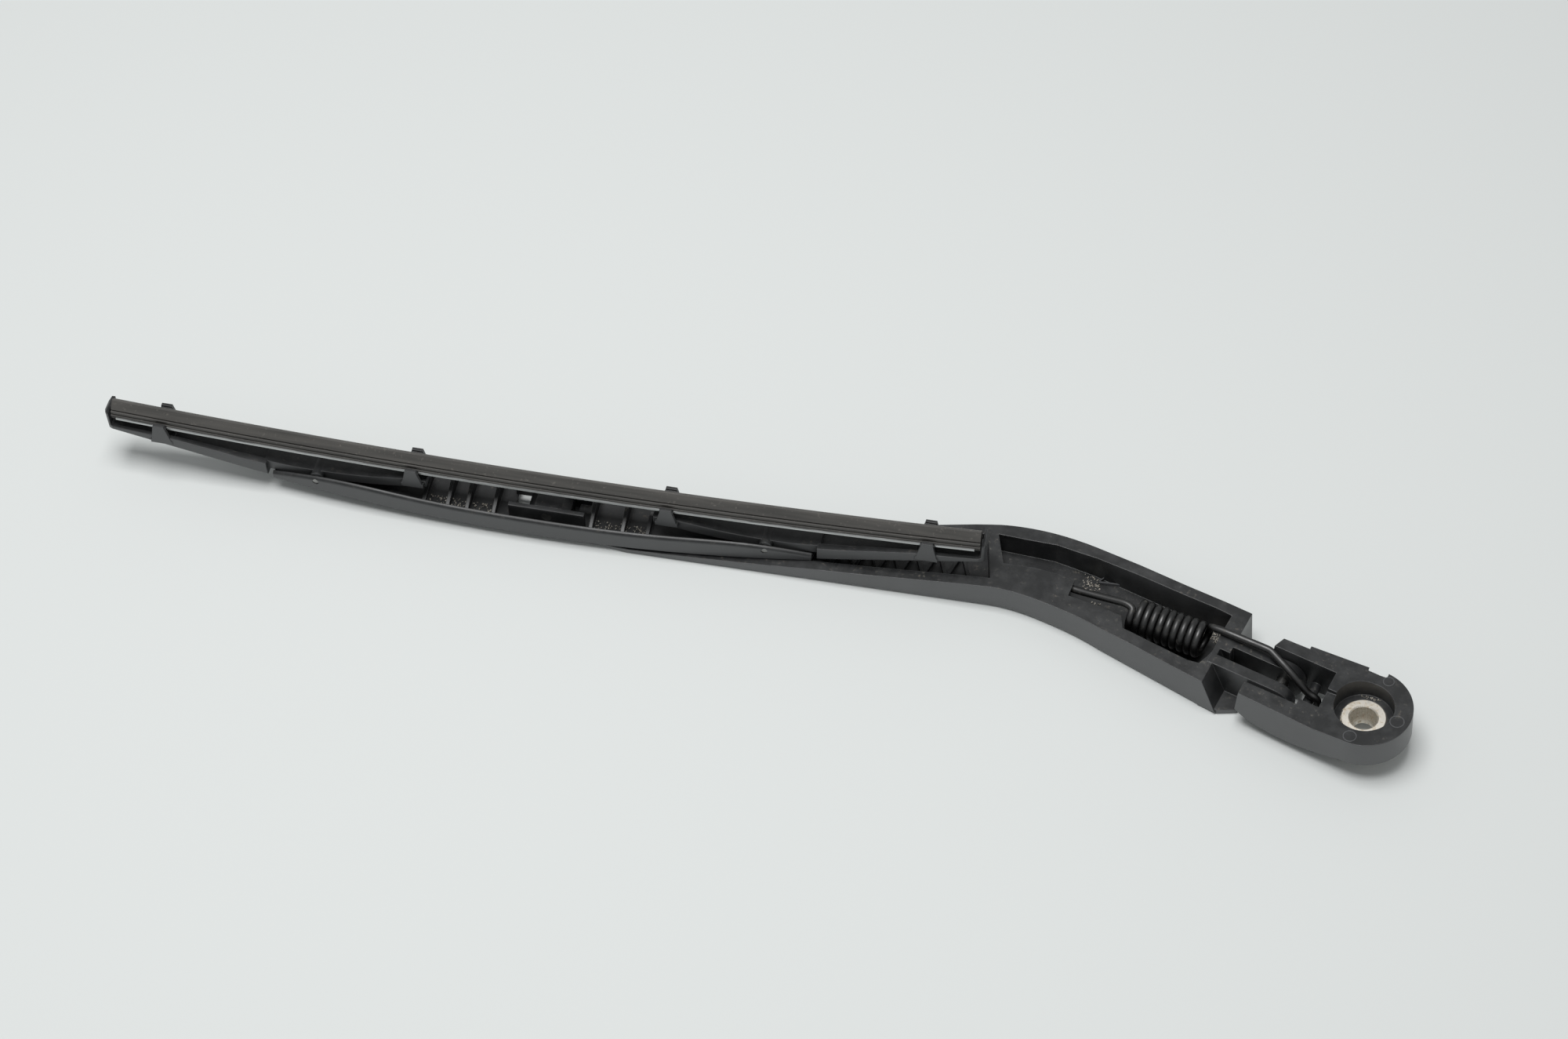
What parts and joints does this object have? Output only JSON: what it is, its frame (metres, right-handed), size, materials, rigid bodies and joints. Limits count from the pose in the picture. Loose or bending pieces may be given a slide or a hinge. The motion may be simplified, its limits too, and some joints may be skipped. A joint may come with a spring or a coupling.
{
  "type": "rear wiper",
  "caption": "Rear window wiper lying on its back: a moulded arm with a spring trough and a hinged head carries a bowed rubber blade on a lever frame with rocking yokes.",
  "frame": {"origin": "on the spindle bore's axis, at the face of the bush that the nut bears on", "axes": "+X along the blade towards the head, +Z away from the plane that the arm's back lies on, towards the glass side"},
  "size_m": [0.5274, 0.0841, 0.0334],
  "materials": {
    "arm_plastic": "black glass-filled plastic with a satin, slightly scuffed face",
    "blade_plastic": "black plastic, satin, dusty inside",
    "bush_metal": "bare light metal with tan grime",
    "pin_steel": "plain steel",
    "spring_steel": "dark phosphated spring wire",
    "wiper_rubber": "black rubber with a dull grey-brown bloom",
    "rail_steel": "bright spring-steel strip"
  },
  "bodies": {
    "head": {"head": "arm_plastic", "spindle_bush": "bush_metal", "hinge_pin": "pin_steel"},
    "arm": {"arm": "arm_plastic", "tension_spring": "spring_steel"},
    "blade": {"blade_frame": "blade_plastic", "blade_pin": "pin_steel", "yoke_pins": "pin_steel", "squeegee": "wiper_rubber", "rail_near": "rail_steel", "rail_far": "rail_steel"},
    "outer_yoke": {"outer_yoke": "blade_plastic"},
    "inner_yoke": {"inner_yoke": "blade_plastic"}
  },
  "joints": [
    {"name": "arm_hinge", "type": "hinge", "parent": "head", "child": "arm", "pos_m": [-0.03337, 0.01123, 0.00295], "axis": [-0.319, -0.9478, 0], "range_deg": [0, 60], "stiffness_Nm_per_rad": 0.4, "springref_deg": -34.38, "deforming": ["tension_spring"]},
    {"name": "blade_tilt", "type": "hinge", "parent": "arm", "child": "blade", "pos_m": [-0.3276, 0.04511, 0.00375], "axis": [0, -1, 0], "range_deg": [0, 10]},
    {"name": "outer_yoke_rock", "type": "hinge", "parent": "blade", "child": "outer_yoke", "pos_m": [-0.4226, 0.04511, 0.00555], "axis": [0, 1, 0], "range_deg": [-4, 4], "stiffness_Nm_per_rad": 0.1, "deforming": ["squeegee", "rail_near", "rail_far"]},
    {"name": "inner_yoke_rock", "type": "hinge", "parent": "blade", "child": "inner_yoke", "pos_m": [-0.2386, 0.04511, 0.00555], "axis": [0, 1, 0], "range_deg": [-4, 4], "stiffness_Nm_per_rad": 0.1, "deforming": ["squeegee", "rail_near", "rail_far"]}
  ]
}
